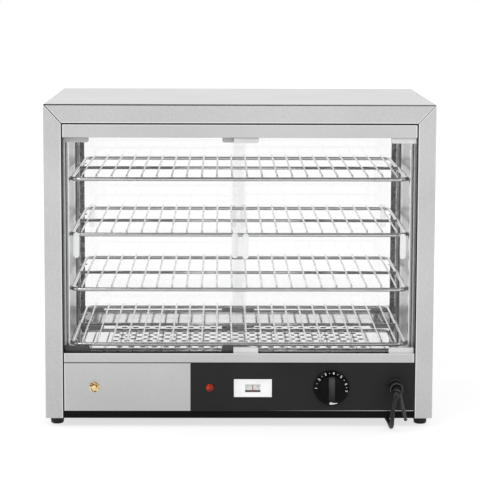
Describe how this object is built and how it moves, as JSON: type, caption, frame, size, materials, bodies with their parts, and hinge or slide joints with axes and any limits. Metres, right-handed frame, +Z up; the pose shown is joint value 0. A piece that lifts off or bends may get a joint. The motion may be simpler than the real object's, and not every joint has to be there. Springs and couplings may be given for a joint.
{
  "type": "pie warmer",
  "caption": "Counter-top heated food cabinet in stainless steel with sliding glass doors front and rear, wire shelves, a perforated floor and a thermostat panel.",
  "frame": {"origin": "On the surface under the feet, at the middle of the box round the cabinet and its knob.", "axes": "X to the right seen from the front, Y from the front to the rear, Z up"},
  "size_m": [0.58, 0.5245, 0.486],
  "materials": {
    "stainless": "satin",
    "bright_steel": "bright",
    "aluminium": "satin",
    "plated_wire": "bright",
    "door_glass": "clear",
    "grey_plastic": "satin",
    "element_sheath": "matte",
    "black_metal": "satin",
    "black_plastic": "satin",
    "white_plastic": "gloss",
    "red_plastic": "gloss",
    "brass": "satin",
    "black_rubber": "matte"
  },
  "bodies": {
    "cabinet": {"base_pan": "black_metal", "bond_nuts": "brass", "bond_stud": "brass", "coil_tie": "black_plastic", "control_fascia": "black_metal", "control_panel": "stainless", "cord_coil": "black_rubber", "cord_plug": "black_rubber", "cord_tie": "black_plastic", "element_brackets": "element_sheath", "element_tray": "bright_steel", "feet": "black_rubber", "front_bottom_track": "aluminium", "front_header": "stainless", "front_sill": "stainless", "front_top_track": "aluminium", "gauge_axle": "brass", "gauge_case": "white_plastic", "gauge_dial": "white_plastic", "gauge_window": "door_glass", "gland_body": "black_plastic", "gland_locknut": "black_plastic", "gland_nut": "black_plastic", "heating_element": "element_sheath", "inner_ceiling": "stainless", "inner_side_left": "stainless", "inner_side_right": "stainless", "lamp_body": "black_plastic", "lamp_lens": "red_plastic", "mains_cord": "black_rubber", "outer_wrap": "stainless", "perforated_floor": "bright_steel", "rear_bottom_track": "aluminium", "rear_header": "stainless", "rear_lower_panel": "stainless", "rear_sill": "stainless", "rear_top_track": "aluminium", "shelf_clips": "plated_wire", "side_rails": "stainless", "strain_relief": "black_rubber", "terminal_block": "black_plastic", "thermostat": "black_plastic", "thermostat_bulb": "element_sheath", "uprights_left": "bright_steel", "uprights_right": "bright_steel"},
    "front_door_right": {"front_glass_right": "door_glass", "front_shoes_right": "grey_plastic"},
    "front_door_left": {"front_glass_left": "door_glass", "front_shoes_left": "grey_plastic"},
    "rear_door_right": {"rear_glass_right": "door_glass", "rear_shoes_right": "grey_plastic"},
    "rear_door_left": {"rear_glass_left": "door_glass", "rear_shoes_left": "grey_plastic"},
    "dial_knob": {"knob": "black_plastic", "thermostat_shaft": "element_sheath"},
    "needle": {"gauge_needle": "red_plastic"},
    "wire_shelf_1": {"shelf_1": "plated_wire"},
    "wire_shelf_2": {"shelf_2": "plated_wire"},
    "wire_shelf_3": {"shelf_3": "plated_wire"},
    "wire_shelf_4": {"shelf_4": "plated_wire"}
  },
  "joints": [
    {"name": "front_right_door_slide", "type": "slide", "parent": "cabinet", "child": "front_door_right", "axis": [-1, 0, 0], "range_m": [0, 0.25]},
    {"name": "front_left_door_slide", "type": "slide", "parent": "cabinet", "child": "front_door_left", "axis": [1, 0, 0], "range_m": [0, 0.25]},
    {"name": "rear_right_door_slide", "type": "slide", "parent": "cabinet", "child": "rear_door_right", "axis": [-1, 0, 0], "range_m": [0, 0.25]},
    {"name": "rear_left_door_slide", "type": "slide", "parent": "cabinet", "child": "rear_door_left", "axis": [1, 0, 0], "range_m": [0, 0.25]},
    {"name": "knob_turn", "type": "hinge", "parent": "cabinet", "child": "dial_knob", "pos_m": [0.138, -0.1683, 0.061], "axis": [0, 1, 0], "range_deg": [0, 270]},
    {"name": "needle_turn", "type": "hinge", "parent": "cabinet", "child": "needle", "pos_m": [0.02035, -0.1664, 0.0522], "axis": [0, 1, 0], "range_deg": [-35, 35]},
    {"name": "shelf_1_lift", "type": "slide", "parent": "cabinet", "child": "wire_shelf_1", "axis": [0, 0, 1], "range_m": [0, 0.03]},
    {"name": "shelf_2_lift", "type": "slide", "parent": "cabinet", "child": "wire_shelf_2", "axis": [0, 0, 1], "range_m": [0, 0.03]},
    {"name": "shelf_3_lift", "type": "slide", "parent": "cabinet", "child": "wire_shelf_3", "axis": [0, 0, 1], "range_m": [0, 0.03]},
    {"name": "shelf_4_lift", "type": "slide", "parent": "cabinet", "child": "wire_shelf_4", "axis": [0, 0, 1], "range_m": [0, 0.03]}
  ]
}
